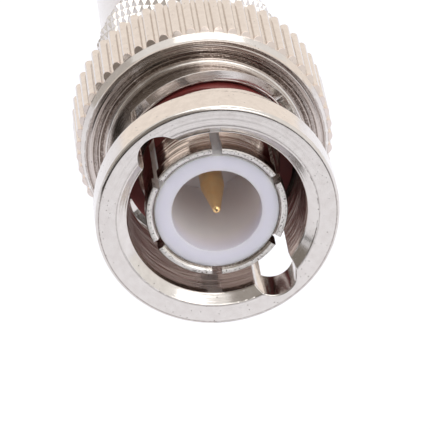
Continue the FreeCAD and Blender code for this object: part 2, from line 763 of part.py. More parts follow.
def grip_pyramids():
    """A sleeve cut by two sets of crossed helical grooves, which leave rows of four-sided pyramids."""
    columns = int(dim.grip_count.value) * 2
    radius = grip_radius.value
    root = radius - dim.grip_groove_depth.value
    row_length = math.pi * radius / dim.grip_count.value
    bevel_slope = (radius - barrel_radius.value) / dim.grip_bevel.value
    fade = grip_fade.value
    rows = math.floor(fade / row_length)
    rings = []
    for row in range(rows + 1):
        back = min(row * row_length, fade)
        limit = min(root + back, radius, radius - bevel_slope * (back - dim.grip_length.value))
        ring = []
        for column in range(columns):
            is_top = (row + column) % 2 == 1
            reach = max(root, limit) if is_top else root
            turn = 2 * math.pi * column / columns
            depth = shell_front.value + back
            ring.append(FreeCAD.Vector(reach * math.cos(turn), depth, reach * math.sin(turn)))
        rings.append(ring)

    faces = []
    for row in range(rows):
        near, far = rings[row], rings[row + 1]
        for column in range(columns):
            after = (column + 1) % columns
            if (row + column) % 2 == 0:
                triangles = ((near[column], near[after], far[after]), (near[column], far[after], far[column]))
            else:
                triangles = ((near[column], near[after], far[column]), (near[after], far[after], far[column]))
            for corners in triangles:
                faces.append(Part.Face(Part.makePolygon(corners + corners[:1])))
    inside = (seal_root.value + root) / 2
    ends = []
    for ring in (rings[0], rings[-1]):
        middle = FreeCAD.Vector(0, ring[0].y, 0)
        hole = Part.Wire(Part.makeCircle(inside, middle, FreeCAD.Vector(0, 1, 0)))
        face = Part.Face([Part.makePolygon(ring + ring[:1]), hole])
        ends.append(hole)
        faces.append(face)
    faces.append(Part.makeLoft(ends, False, True).Faces[0])
    sleeve = doc.addObject("Part::Feature", "grip_pyramids")
    sleeve.Shape = Part.makeSolid(Part.makeShell(faces))
    return sleeve


def back_shell():
    """The screwed shell: knurled grip, smooth barrel and the cable entry."""
    body = new_body("back_shell")
    body.BaseFeature = grip_pyramids()
    seal_half = dim.seal_section + dim.groove_play
    root_radius = grip_radius - dim.grip_groove_depth
    core_radius = root_radius - dim.seating_gap
    revolve(body, [
        (thread_bore, shell_front),
        (core_radius, shell_front),
        (core_radius, shell_front + grip_fade),
        (barrel_radius, shell_front + dim.grip_length + dim.grip_bevel),
        (barrel_radius, shell_back),
        (cable_radius + dim.entry_flare, shell_back),
        (cable_radius, shell_back - dim.entry_flare),
        (cable_radius, shell_step_front),
        (clamp_radius, shell_step_front),
        (clamp_radius, shell_floor),
        (thread_bore, shell_floor),
        (thread_bore, seal_middle + seal_half),
        (seal_root, seal_middle + seal_half),
        (seal_root, seal_middle - seal_half),
        (thread_bore, seal_middle - seal_half),
    ])
    rounded(body, [(barrel_radius, shell_back)], dim.barrel_round)


coupling_nut()
outer_contact()
face_gasket()
plug_body()
wave_washer()
flat_washers()
retaining_ring()
front_insulator()
rear_insulator()
centre_pin()
seal_ring()
braid_clamp()
cable_gasket()
gland_washer()
back_shell()

doc.recompute()
for thing in doc.Objects:
    if "Invalid" in thing.State or "Error" in thing.State:
        raise RuntimeError(f"{thing.Label} failed: {thing.State}")
for piece in pieces:
    if piece.Shape.isNull() or not piece.Shape.isValid():
        raise RuntimeError(f"{piece.Label} has no valid shape")
    if len(piece.Shape.Solids) != 1:
        raise RuntimeError(f"{piece.Label} has {len(piece.Shape.Solids)} solids")

os.makedirs("parts", exist_ok=True)
for piece in pieces:
    piece.Shape.exportStep(f"parts/{piece.Label}.step")
    print(piece.Label, round(piece.Shape.Volume, 3))
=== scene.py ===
import json
import math

import bpy
from mathutils import Matrix, Vector


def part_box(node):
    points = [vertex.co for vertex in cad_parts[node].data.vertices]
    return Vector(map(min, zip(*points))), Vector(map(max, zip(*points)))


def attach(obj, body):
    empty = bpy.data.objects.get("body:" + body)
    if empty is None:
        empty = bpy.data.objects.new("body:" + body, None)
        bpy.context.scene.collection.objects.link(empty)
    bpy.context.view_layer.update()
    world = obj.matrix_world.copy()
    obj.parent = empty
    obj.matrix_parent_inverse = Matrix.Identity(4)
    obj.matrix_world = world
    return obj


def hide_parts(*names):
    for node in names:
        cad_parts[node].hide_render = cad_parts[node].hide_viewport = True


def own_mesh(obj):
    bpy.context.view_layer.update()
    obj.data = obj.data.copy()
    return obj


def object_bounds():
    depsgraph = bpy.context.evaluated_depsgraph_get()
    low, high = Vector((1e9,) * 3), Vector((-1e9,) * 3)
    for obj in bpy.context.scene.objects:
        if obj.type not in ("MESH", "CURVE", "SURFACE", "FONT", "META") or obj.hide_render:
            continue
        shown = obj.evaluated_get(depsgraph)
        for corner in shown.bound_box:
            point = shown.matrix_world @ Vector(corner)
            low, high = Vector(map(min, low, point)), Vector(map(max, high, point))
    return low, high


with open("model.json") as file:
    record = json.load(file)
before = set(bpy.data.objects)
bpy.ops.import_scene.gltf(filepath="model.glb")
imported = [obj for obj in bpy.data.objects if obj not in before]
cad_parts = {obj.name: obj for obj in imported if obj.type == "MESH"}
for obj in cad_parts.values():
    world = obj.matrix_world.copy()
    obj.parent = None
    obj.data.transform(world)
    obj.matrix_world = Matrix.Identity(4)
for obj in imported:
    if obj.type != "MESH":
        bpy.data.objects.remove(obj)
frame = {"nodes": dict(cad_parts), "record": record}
cad_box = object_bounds()

# The plug's axis is Y, its mating face looks towards -Y, and lengths are in metres.
MM = 0.001
nodes = frame["nodes"]
NUT_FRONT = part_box("coupling_nut")[0].y


def colour(red, green, blue):
    return (red, green, blue, 1)


WHITE = colour(1, 1, 1)


# Camera

AZIMUTH = math.radians(-4.837)
ELEVATION = math.radians(27.961)
DISTANCE = 238.29 * MM
EYE_RIGHT = -0.163 * MM
EYE_UP = 0.115 * MM
FOCAL_LENGTH_IN_WIDTHS = 10.161
SENSOR_WIDTH = 36.0
CLIP_START = 10 * MM
CLIP_END = 20


def directions(azimuth, elevation):
    """Outwards, right and up for a place seen from the plug.

    An azimuth of 0 is the mating side, and a quarter turn is +X.
    """
    outwards = Vector((
        math.sin(azimuth) * math.cos(elevation),
        -math.cos(azimuth) * math.cos(elevation),
        math.sin(elevation),
    ))
    right = Vector((math.cos(azimuth), math.sin(azimuth), 0))
    return outwards, right, outwards.cross(right)


def turned(right, up, outwards):
    """The turn of a camera or lamp that looks inwards."""
    return Matrix((right, up, outwards)).transposed().to_4x4()


def add_camera():
    """The photograph's camera: in front of the mating face, a little above and to its left."""
    outwards, right, up = directions(AZIMUTH, ELEVATION)
    eye = Vector((0, NUT_FRONT, 0)) + outwards * DISTANCE + right * EYE_RIGHT + up * EYE_UP
    data = bpy.data.cameras.new("camera")
    data.sensor_width = SENSOR_WIDTH
    data.lens = FOCAL_LENGTH_IN_WIDTHS * SENSOR_WIDTH
    data.clip_start = CLIP_START
    data.clip_end = CLIP_END
    camera = bpy.data.objects.new("camera", data)
    camera.matrix_world = Matrix.Translation(eye) @ turned(right, up, outwards)
    bpy.context.scene.collection.objects.link(camera)
    bpy.context.scene.camera = camera


# Node graphs

class Graph:
    """Adds nodes to one node tree; an input is given as a value or as another node's output."""

    def __init__(self, tree):
        self.tree = tree
        tree.nodes.clear()

    def node(self, kind, inputs=None, **settings):
        made = self.tree.nodes.new(kind)
        for name, value in settings.items():
            setattr(made, name, value)
        for name, value in (inputs or {}).items():
            self.feed(made.inputs[name], value)
        return made

    def feed(self, socket, value):
        if isinstance(value, bpy.types.NodeSocket):
            self.tree.links.new(value, socket)
        else:
            socket.default_value = value

    def math(self, operation, first, second, clamp=False):
        made = self.node("ShaderNodeMath", {0: first, 1: second}, operation=operation, use_clamp=clamp)
        return made.outputs[0]

    def sum(self, first, second):
        return self.math("ADD", first, second)

    def product(self, first, *others):
        for other in others:
            first = self.math("MULTIPLY", first, other)
        return first

    def largest(self, first, *others):
        for other in others:
            first = self.math("MAXIMUM", first, other)
        return first

    def map(self, value, low, high, to_low=0.0, to_high=1.0):
        """Goes from to_low where the value is low to to_high where it is high, and is level beyond both."""
        made = self.node("ShaderNodeMapRange", {0: value, 1: low, 2: high, 3: to_low, 4: to_high})
        return made.outputs[0]

    def window(self, value, start, full, full_end, end):
        """One between the rise from start to full and the fall from full_end to end, and nothing outside."""
        return self.product(self.map(value, start, full), self.map(value, end, full_end))

    def mix(self, amount, first, second):
        """A colour mixed from two."""
        made = self.node("ShaderNodeMix", data_type="RGBA")
        self.feed(made.inputs[0], amount)
        self.feed(made.inputs[6], first)
        self.feed(made.inputs[7], second)
        return made.outputs[2]

    def vector(self, x, y=0.0, z=0.0):
        return self.node("ShaderNodeCombineXYZ", {0: x, 1: y, 2: z}).outputs[0]

    def noise(self, vector, scale, detail=2.0, roughness=0.5, w=None):
        made = self.node("ShaderNodeTexNoise", noise_dimensions="3D" if w is None else "4D")
        inputs = {"Vector": vector, "Scale": scale, "Detail": detail, "Roughness": roughness}
        if w is not None:
            inputs["W"] = w
        for name, value in inputs.items():
            self.feed(made.inputs[name], value)
        return made.outputs["Fac"]

    def bump(self, height, distance, strength=1.0, normal=None):
        """The normal of a surface with a relief, whose depth is given in metres."""
        inputs = {"Strength": strength, "Distance": distance, "Height": height}
        if normal is not None:
            inputs["Normal"] = normal
        return self.node("ShaderNodeBump", inputs).outputs[0]


def new_material(name):
    material = bpy.data.materials.new(name)
    material.use_nodes = True
    return material, Graph(material.node_tree)


# Floor, room, cards and lamps

FLOOR_DROP = 60 * MM
FLOOR_SIZE = 4.0
FLOOR_LEVEL = cad_box[0][2] - FLOOR_DROP
FLOOR_COLOUR = colour(0.59, 0.605, 0.67)
FLOOR_LIFT = 0.36
TABLE_EDGE_CENTRE = Vector((-0.19, -0.55, FLOOR_LEVEL + 1 * MM))
TABLE_EDGE_WIDTH = 0.66
TABLE_EDGE_LENGTH = 0.77
TABLE_EDGE_COLOUR = colour(0.05, 0.045, 0.04)
ROOM_COLOUR = colour(1.0, 0.98, 0.955)
STUDIO_DISTANCE = 0.8

# Name, azimuth and elevation in degrees, width, height and colour
CARDS = (
    ("camera_side", -37, 17, 1.20, 0.56, colour(0.26, 0.235, 0.21)),
    ("left_high", -64, 50, 0.60, 0.40, colour(0.26, 0.235, 0.21)),
    ("camera_top", -27, 47, 0.34, 0.30, colour(0.42, 0.39, 0.36)),
    ("left_wall", -112, 17, 0.95, 0.56, colour(0.60, 0.565, 0.53)),
    ("warm_wall", 180, 17, 2.6, 0.56, colour(1.10, 1.0, 0.91)),
)

# Name, azimuth and elevation in degrees, width, height, brightness and colour
LAMPS = (
    ("ceiling", 140, 78, 0.8, 0.8, 1.25, (1.0, 0.97, 0.93)),
    ("front_softbox", 22, 38, 0.52, 0.28, 2.0, (1.0, 1.0, 1.0)),
)


def stage_piece(name, centre, right, up, width, height, shader):
    """A flat rectangle of the studio, which isn't part of the plug; shader makes its surface in a graph."""
    half_right = right * width / 2
    half_up = up * height / 2
    corners = [
        centre - half_right - half_up,
        centre + half_right - half_up,
        centre + half_right + half_up,
        centre - half_right + half_up,
    ]
    mesh = bpy.data.meshes.new(name)
    mesh.from_pydata(corners, [], [(0, 1, 2, 3)])
    material, graph = new_material(name)
    graph.node("ShaderNodeOutputMaterial", {"Surface": shader(graph)})
    mesh.materials.append(material)
    piece = bpy.data.objects.new(name, mesh)
    bpy.context.scene.collection.objects.link(piece)
    return piece


def level_piece(name, centre, width, length, shader):
    """A rectangle that lies flat."""
    return stage_piece(name, centre, Vector((1, 0, 0)), Vector((0, 1, 0)), width, length, shader)


def add_floor():
    """Pale paper, white to the camera and in mirrors, which keeps the plug's shadow."""
    def paper(graph):
        paths = graph.node("ShaderNodeLightPath").outputs
        seen = graph.largest(paths["Is Camera Ray"], paths["Is Transmission Ray"], paths["Is Glossy Ray"])
        lit = graph.node("ShaderNodeBsdfDiffuse", {"Color": FLOOR_COLOUR}).outputs[0]
        strength = graph.product(seen, FLOOR_LIFT)
        lift = graph.node("ShaderNodeEmission", {"Color": WHITE, "Strength": strength}).outputs[0]
        return graph.node("ShaderNodeAddShader", {0: lit, 1: lift}).outputs[0]

    level_piece("floor", Vector((0, 0, FLOOR_LEVEL)), FLOOR_SIZE, FLOOR_SIZE, paper)


def add_world():
    """An even white room."""
    world = bpy.data.worlds.new("studio")
    bpy.context.scene.world = world
    world.use_nodes = True
    graph = Graph(world.node_tree)
    background = graph.node("ShaderNodeBackground", {"Color": ROOM_COLOUR, "Strength": 1.0})
    graph.node("ShaderNodeOutputWorld", {"Surface": background.outputs[0]})


def add_table_edge():
    """The dark room in front of the paper, below the camera, which only shows in the plug's plating."""
    def dark(graph):
        return graph.node("ShaderNodeBsdfDiffuse", {"Color": TABLE_EDGE_COLOUR}).outputs[0]

    edge = level_piece("table_edge", TABLE_EDGE_CENTRE, TABLE_EDGE_WIDTH, TABLE_EDGE_LENGTH, dark)
    edge.visible_camera = False
    edge.visible_diffuse = False
    edge.visible_shadow = False


def add_card(name, azimuth, elevation, width, height, tint):
    """A card that faces the plug with an even colour, and isn't in the camera's way."""
    def glow(graph):
        return graph.node("ShaderNodeEmission", {"Color": tint, "Strength": 1.0}).outputs[0]

    outwards, right, up = directions(math.radians(azimuth), math.radians(elevation))
    card = stage_piece(name, outwards * STUDIO_DISTANCE, right, up, width, height, glow)
    card.visible_camera = False


def add_lamp(name, azimuth, elevation, width, height, brightness, tint):
    """A softbox that faces the plug; brightness 1 is that of the white room."""
    outwards, right, up = directions(math.radians(azimuth), math.radians(elevation))
    data = bpy.data.lights.new(name, "AREA")
    data.shape = "RECTANGLE"
    data.size = width
    data.size_y = height
    data.energy = brightness * math.pi * width * height
    data.color = tint
    lamp = bpy.data.objects.new(name, data)
    lamp.matrix_world = Matrix.Translation(outwards * STUDIO_DISTANCE) @ turned(right, up, outwards)
    lamp.visible_camera = False
    bpy.context.scene.collection.objects.link(lamp)


# Materials

# Radii are millimetres from the plug's axis, and depths are millimetres along it, with the nut's front
# face at -6.3. Two numbers say where something starts and where it is full, and two more say where it
# is still full and where it ends. The scale of a noise is in waves per millimetre.

IN_MILLIMETRES = 1000.0


class TurnedPlace:
    """Where a point lies on the turned plug: its radius and depth, and the cosine and sine of its angle."""

    def __init__(self, graph):
        place = graph.node("ShaderNodeTexCoord").outputs["Object"]
        parts = graph.node("ShaderNodeSeparateXYZ", {0: place}).outputs
        flat = graph.vector(parts["X"], z=parts["Z"])
        length = graph.node("ShaderNodeVectorMath", {0: flat}, operation="LENGTH").outputs["Value"]
        unit = graph.node("ShaderNodeVectorMath", {0: flat}, operation="NORMALIZE").outputs[0]
        around = graph.node("ShaderNodeSeparateXYZ", {0: unit}).outputs
        scale = (IN_MILLIMETRES, IN_MILLIMETRES, IN_MILLIMETRES)
        scaled = graph.node("ShaderNodeVectorMath", {0: place, 1: scale}, operation="MULTIPLY")
        self.graph = graph
        self.millimetres = scaled.outputs[0]
        self.radius = graph.product(length, IN_MILLIMETRES)
        self.depth = graph.product(parts["Y"], IN_MILLIMETRES)
        self.cosine = around["X"]
        self.sine = around["Z"]

    def ring_noise(self, scale, drift, detail, roughness=0.5):
        """Noise in rings round the axis; drift says how much it changes along each ring."""
        ring = self.graph.vector(self.radius, self.depth, self.graph.product(self.cosine, drift))
        w = self.graph.product(self.sine, drift)
        return self.graph.noise(ring, scale, detail=detail, roughness=roughness, w=w)


# Painted brown shade: it stands in for the dark, warm room mirrored in the plating and for shade in recesses.
PAINTED_BROWN_SHADE = colour(0.70, 0.58, 0.52)
BARE_CUT = colour(0.95, 0.93, 0.91)
PIT_COLOUR = colour(0.06, 0.05, 0.04)
# Painted shade: a dark colour laid into creases, recesses and the gaps between parts.
PAINTED_SHADE_COLOUR = colour(0.16, 0.12, 0.10)
RING_DRIFT = 0.03
COARSE_RING_SCALE = 3.6
COARSE_RING_RANGE = (0.32, 0.68)
COARSE_RING_SHARE = 0.45
FINE_RING_SCALE = 9.0
FINE_RING_SHARE = 0.4
GRAIN_SCALE = 14.0
GRAIN_RANGE = (0.3, 0.7)
GRAIN_DEPTH = 0.0012 * MM
GRAIN_STRENGTH = 0.5
GRAIN_ROUGHNESS = (0.8, 1.3)
SPECK_SCALE = 9.0
FLAKE_RANGE = (0.57, 0.62)
# The specks break up the painted shade.
PAINTED_SHADE_RANGE = (0.34, 0.52)
PAINTED_SHADE_LEAST = 0.35
PIT_CELL_SCALE = 3.2
PIT_SIZES = (0.05, 0.12)
PIT_PATCH_SCALE = 0.9
PIT_PATCH_RANGE = (0.42, 0.54)
PIT_DEPTH = 0.02 * MM
PIT_STRENGTH = 0.8
PIT_DARKNESS = 0.9
CLOUD_SCALE = 2.5
CLOUD_RANGE = (0.35, 0.7)
MATT_RELIEF = 0.5
MATT_PALENESS = 0.6
MATT_ROUGHNESS = 0.3
EDGE_SAMPLES = 6


def metal(name, tint, worn_tint, roughness, ring_depth, pits=0.0, edge=0.03, zones=None):
    """Turned and plated metal: tool rings round the axis, fine grain, pits and softened edges.

    ring_depth and edge are in millimetres. zones is a function of the graph, radius and depth that gives
    how much deeper the rings are in each place, how matt and speckled its surface is there, how much
    painted brown shade it has and where painted shade lies.
    """
    material, graph = new_material(name)
    place = TurnedPlace(graph)
    millimetres = place.millimetres
    ring_gain, matt, painted_brown, painted_shade = (1.0, 0.0, 0.0, 0.0)
    if zones:
        ring_gain, matt, painted_brown, painted_shade = zones(graph, place.radius, place.depth)

    coarse = graph.map(place.ring_noise(COARSE_RING_SCALE, RING_DRIFT, detail=1.0), *COARSE_RING_RANGE)
    fine = place.ring_noise(FINE_RING_SCALE, RING_DRIFT, detail=1.0, roughness=0.6)
    rings = graph.sum(graph.product(coarse, COARSE_RING_SHARE), graph.product(fine, FINE_RING_SHARE))
    rings = graph.product(rings, ring_gain)

    grain = graph.noise(millimetres, GRAIN_SCALE, detail=4.0, roughness=0.65)
    specks = graph.noise(millimetres, SPECK_SCALE, detail=3.0, roughness=0.7)
    cells = graph.node("ShaderNodeTexVoronoi", {"Vector": millimetres, "Scale": PIT_CELL_SCALE})
    in_cells = graph.map(cells.outputs["Distance"], *PIT_SIZES, 1.0, 0.0)
    in_patches = graph.map(graph.noise(millimetres, PIT_PATCH_SCALE), *PIT_PATCH_RANGE)
    pitted = graph.math("MULTIPLY", graph.product(in_cells, in_patches), pits, clamp=True)
    pitted = graph.largest(pitted, graph.product(graph.map(specks, *FLAKE_RANGE), matt))
    # Painted shade, broken up by the specks.
    painted_shade = graph.product(painted_shade, graph.map(specks, *PAINTED_SHADE_RANGE, PAINTED_SHADE_LEAST, 1.0))

    normal = graph.node("ShaderNodeBevel", {"Radius": edge * MM}, samples=EDGE_SAMPLES).outputs[0]
    normal = graph.bump(rings, ring_depth * MM, normal=normal)
    normal = graph.bump(grain, GRAIN_DEPTH, strength=GRAIN_STRENGTH, normal=normal)
    normal = graph.bump(specks, PIT_DEPTH, strength=graph.product(matt, MATT_RELIEF), normal=normal)
    unpitted = graph.math("SUBTRACT", 1.0, pitted)
    normal = graph.bump(unpitted, PIT_DEPTH, strength=PIT_STRENGTH, normal=normal)

    clouds = graph.noise(millimetres, CLOUD_SCALE, detail=3.0)
    base = graph.mix(graph.map(clouds, *CLOUD_RANGE), tint, worn_tint)
    # Painted brown shade mixed into the base colour.
    base = graph.mix(painted_brown, base, PAINTED_BROWN_SHADE)
    base = graph.mix(graph.product(matt, MATT_PALENESS), base, BARE_CUT)
    base = graph.mix(graph.product(pitted, PIT_DARKNESS), base, PIT_COLOUR)
    # Painted shade mixed into the base colour.
    base = graph.mix(painted_shade, base, PAINTED_SHADE_COLOUR)
    smoothest, roughest = GRAIN_ROUGHNESS
    rough = graph.map(grain, *GRAIN_RANGE, roughness * smoothest, roughness * roughest)
    rough = graph.sum(rough, graph.product(matt, MATT_ROUGHNESS))
    shader = graph.node("ShaderNodeBsdfPrincipled", {
        "Base Color": base, "Metallic": 1.0, "Roughness": rough, "Normal": normal,
    }).outputs[0]
    graph.node("ShaderNodeOutputMaterial", {"Surface": shader})
    return material


# Painted shade and painted brown shade in the nut's bore and on its knurl face, painted shade lines in its
# front's creases, and painted brown shade on its tooth ends.
BORE_RADII = (5.02, 4.96)
BORE_RING_GAIN = 11.0
BORE_PAINTED_SHADE = 0.22
BORE_PAINTED_BROWN = 0.5
KNURL_FACE_RADII = (5.62, 5.68, 6.76, 6.82)
KNURL_FACE_DEPTHS = (1.5, 1.6, 2.0, 2.1)
KNURL_FACE_RING_GAIN = 13.0
KNURL_FACE_PAINTED_SHADE = 0.16
KNURL_FACE_PAINTED_BROWN = 0.35
STREAK_SCALE = 5.2
STREAK_RANGE = (0.46, 0.54)
STREAK_RADII = (6.5, 6.15)
STREAK_PAINTED_SHADE = (0.3, 0.95)
CREASE_DEPTHS = (-6.24, -6.28)
CREASE_PAINTED_SHADE = 0.7
RIM_RADII = (6.48, 6.52, 6.54, 6.58)
LIP_RADII = (5.52, 5.56, 5.58, 5.62)
LIP_SHARE = 0.6
TOOTH_END_RADII = (6.98, 7.02)
TOOTH_END_DEPTHS = (2.72, 2.64)
TOOTH_END_PAINTED_BROWN = 0.5
NUT_RING_GAIN = 1.5


def nut_zones(graph, radius, depth):
    """Deep tool rings in the nut's bore and knurl face, and painted shade there and in its front's creases.
    """
    bore = graph.map(radius, *BORE_RADII)
    face = graph.product(graph.window(depth, *KNURL_FACE_DEPTHS), graph.window(radius, *KNURL_FACE_RADII))
    ring_gain = graph.sum(graph.product(bore, BORE_RING_GAIN), graph.product(face, KNURL_FACE_RING_GAIN))
    ring_gain = graph.sum(ring_gain, NUT_RING_GAIN)

    # Streaks of painted shade on the knurl face, darker towards its inner edge.
    streaks = graph.noise(graph.vector(radius), STREAK_SCALE, detail=1.0, roughness=0.6)
    streaks = graph.map(streaks, *STREAK_RANGE)
    streaks = graph.product(streaks, graph.map(radius, *STREAK_RADII, *STREAK_PAINTED_SHADE))
    face_painted_shade = graph.product(graph.sum(streaks, KNURL_FACE_PAINTED_SHADE), face)
    # Painted shade lines at the front's outer rim and at the lip of its mouth.
    lip = graph.product(graph.window(radius, *LIP_RADII), LIP_SHARE)
    creases = graph.largest(graph.window(radius, *RIM_RADII), lip)
    creases = graph.product(graph.map(depth, *CREASE_DEPTHS), creases, CREASE_PAINTED_SHADE)
    painted_shade = graph.largest(creases, graph.product(bore, BORE_PAINTED_SHADE), face_painted_shade)

    # Painted brown shade in the bore, on the knurl face and on the tooth ends.
    tooth_ends = graph.product(graph.map(radius, *TOOTH_END_RADII), graph.map(depth, *TOOTH_END_DEPTHS))
    painted_brown = graph.largest(
        graph.product(bore, BORE_PAINTED_BROWN),
        graph.product(face, KNURL_FACE_PAINTED_BROWN),
        graph.product(tooth_ends, TOOTH_END_PAINTED_BROWN),
    )
    return ring_gain, 0.0, painted_brown, painted_shade


# Painted shadow in the crease by the insulator, painted shade on the fingers' outer front edge and round
# their outsides, and painted brown shade on their sides behind their front ends.
FINGER_CREASE_RADII = (3.56, 3.52)
FINGER_CREASE_DEPTHS = (-5.45, -5.5)
FINGER_CREASE_PAINTED_SHADOW = 0.9
FINGER_EDGE_RADII = (3.70, 3.76)
FINGER_EDGE_DEPTHS = (-5.55, -5.6)
FINGER_EDGE_PAINTED_SHADE = 0.25
FINGER_BAND_RADII = (3.80, 3.86)
FINGER_BAND_DEPTHS = (-5.68, -5.6, -5.3, -5.1)
FINGER_BAND_PAINTED_SHADE = 0.7
FINGER_SIDE_DEPTHS = (-5.6, -5.4)
FINGER_SIDE_PAINTED_BROWN = 0.5
FINGER_END_DEPTHS = (-5.715, -5.735)
FINGER_RING_GAIN = 8.0


def contact_zones(graph, radius, depth):
    """Deep tool rings round the fingers, whose cut front ends are matt and specked."""
    # Painted shadow in the crease, and painted shade on the outer front edge and the outside band.
    crease = graph.product(graph.map(radius, *FINGER_CREASE_RADII), graph.map(depth, *FINGER_CREASE_DEPTHS))
    edge = graph.product(graph.map(radius, *FINGER_EDGE_RADII), graph.map(depth, *FINGER_EDGE_DEPTHS))
    band = graph.product(graph.window(depth, *FINGER_BAND_DEPTHS), graph.map(radius, *FINGER_BAND_RADII))
    painted_shade = graph.largest(
        graph.product(crease, FINGER_CREASE_PAINTED_SHADOW),
        graph.product(edge, FINGER_EDGE_PAINTED_SHADE),
        graph.product(band, FINGER_BAND_PAINTED_SHADE),
    )
    matt = graph.map(depth, *FINGER_END_DEPTHS)
    # Painted brown shade further back from the fingers' front ends.
    painted_brown = graph.map(depth, *FINGER_SIDE_DEPTHS, 0.0, FINGER_SIDE_PAINTED_BROWN)
    return FINGER_RING_GAIN, matt, painted_brown, painted_shade


PIN_MARK_RADII = (0.10, 0.06)
PIN_MARK_DEPTHS = (-5.4, -5.45)


def pin_zones(graph, radius, depth):
    """A turned pin with the small centre mark of the lathe in its ball end, shown as a painted shade spot."""
    # The centre mark's hollow isn't modelled; the shade in it is painted dark.
    mark = graph.product(graph.map(radius, *PIN_MARK_RADII), graph.map(depth, *PIN_MARK_DEPTHS))
    return 1.0, 0.0, 0.0, mark


PLASTIC_RING_DRIFT = 0.1
PLASTIC_RING_SCALE = 9.0
PLASTIC_GRAIN_SCALE = 18.0
PLASTIC_GRAIN_ROUGHNESS = (0.85, 1.15)
PLASTIC_CLOUD_SCALE = 1.1
PLASTIC_CLOUD_RANGE = (0.3, 0.7)
# Where the insulator's painted light lies: paler and warmer deep in its cup, paler on its outer wall.
CUP_DEPTHS = (-5.58, -3.8)
WALL_RADII = (3.37, 3.42)
WALL_SCATTER_GAIN = 4


def soft_plastic(name, tint, cloud_tint, roughness, grain_depth, scatter=0.0, scatter_depth=0.6,
                 cup_painted_light=None, wall_painted_light=None):
    """Moulded plastic or rubber with a fine grain and some light inside it; depths are in millimetres.

    Light goes deeper from the radius of the insulator's outer wall on. Only the insulator has a paler colour
    for that wall and a paler, warmer one for the inside of its cup, both painted light.
    """
    material, graph = new_material(name)
    place = TurnedPlace(graph)
    grain = graph.noise(place.millimetres, PLASTIC_GRAIN_SCALE, detail=3.0, roughness=0.6)
    rings = place.ring_noise(PLASTIC_RING_SCALE, PLASTIC_RING_DRIFT, detail=2.0)
    clouds = graph.noise(place.millimetres, PLASTIC_CLOUD_SCALE)
    base = graph.mix(graph.map(clouds, *PLASTIC_CLOUD_RANGE), tint, cloud_tint)
    # Painted light: the cup's inside is paler and warmer, and the outer wall is paler.
    if cup_painted_light:
        base = graph.mix(graph.map(place.depth, *CUP_DEPTHS), base, cup_painted_light)
    if wall_painted_light:
        base = graph.mix(graph.map(place.radius, *WALL_RADII), base, wall_painted_light)
    smoothest, roughest = PLASTIC_GRAIN_ROUGHNESS
    least_scatter = scatter_depth * MM
    most_scatter = WALL_SCATTER_GAIN * scatter_depth * MM
    shader = graph.node("ShaderNodeBsdfPrincipled", {
        "Base Color": base,
        "Roughness": graph.map(grain, *GRAIN_RANGE, roughness * smoothest, roughness * roughest),
        "Subsurface Weight": scatter,
        "Subsurface Radius": (1.0, 1.0, 1.0),
        "Subsurface Scale": graph.map(place.radius, *WALL_RADII, least_scatter, most_scatter),
        "Normal": graph.bump(graph.sum(grain, rings), grain_depth * MM),
    }).outputs[0]
    graph.node("ShaderNodeOutputMaterial", {"Surface": shader})
    return material


NICKEL = colour(0.72, 0.685, 0.655)
NICKEL_WORN = colour(0.67, 0.63, 0.60)


def make_materials():
    """A material for each slot of the record, and a richer nickel for the nut."""
    return {
        "nickel": metal("nickel", NICKEL, NICKEL_WORN, roughness=0.16, ring_depth=0.004, pits=0.6),
        "nickel_nut": metal(
            "nickel_nut", NICKEL, NICKEL_WORN,
            roughness=0.13, ring_depth=0.004, pits=1.0, edge=0.045, zones=nut_zones,
        ),
        "contact_plate": metal(
            "contact_plate", NICKEL, NICKEL_WORN,
            roughness=0.15, ring_depth=0.004, pits=0.5, edge=0.02, zones=contact_zones,
        ),
        "gold": metal(
            "gold", colour(1.0, 0.72, 0.36), colour(1.0, 0.66, 0.30),
            roughness=0.22, ring_depth=0.003, edge=0.02, zones=pin_zones,
        ),
        "white_insulator": soft_plastic(
            "white_insulator", colour(0.81, 0.805, 0.975), colour(0.795, 0.79, 0.96),
            roughness=0.35, grain_depth=0.0012, scatter=1.0, scatter_depth=0.7,
            # Painted light: a paler, warmer cup and a paler outer wall.
            cup_painted_light=colour(0.97, 0.92, 0.955), wall_painted_light=colour(0.99, 0.985, 1.0),
        ),
        "red_silicone": soft_plastic(
            "red_silicone", colour(0.19, 0.030, 0.027), colour(0.15, 0.022, 0.02),
            roughness=0.45, grain_depth=0.004, scatter=0.1,
        ),
        "black_rubber": soft_plastic(
            "black_rubber", colour(0.022, 0.022, 0.022), colour(0.03, 0.03, 0.03),
            roughness=0.55, grain_depth=0.004,
        ),
        "spring_steel": metal(
            "spring_steel", colour(0.50, 0.47, 0.43), colour(0.42, 0.39, 0.36),
            roughness=0.25, ring_depth=0.001, pits=0.1,
        ),
        "brass_washer": metal(
            "brass_washer", colour(0.80, 0.62, 0.30), colour(0.72, 0.55, 0.27),
            roughness=0.25, ring_depth=0.002, pits=0.1,
        ),
    }


SMOOTH_ANGLE = math.radians(38)
CAD_NORMAL_WEIGHT = 90


def smooth_walls(piece):
    """Gives a piece smooth round walls and crisp edges, and returns its modifier."""
    piece.data.shade_smooth()
    piece.data.set_sharp_from_angle(angle=SMOOTH_ANGLE)
    weighted = piece.modifiers.new("weighted", "WEIGHTED_NORMAL")
    weighted.keep_sharp = True
    return weighted


def finish_cad_nodes(materials):
    """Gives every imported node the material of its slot, and smooth walls."""
    slots = {part["node"]: part["material_slot"] for part in frame["record"]["subparts"]}
    for name, node in nodes.items():
        node.data.materials.clear()
        node.data.materials.append(materials["nickel_nut" if name == "coupling_nut" else slots[name]])
        smooth_walls(node).weight = CAD_NORMAL_WEIGHT


# Pieces modelled here

TURN = 2 * math.pi


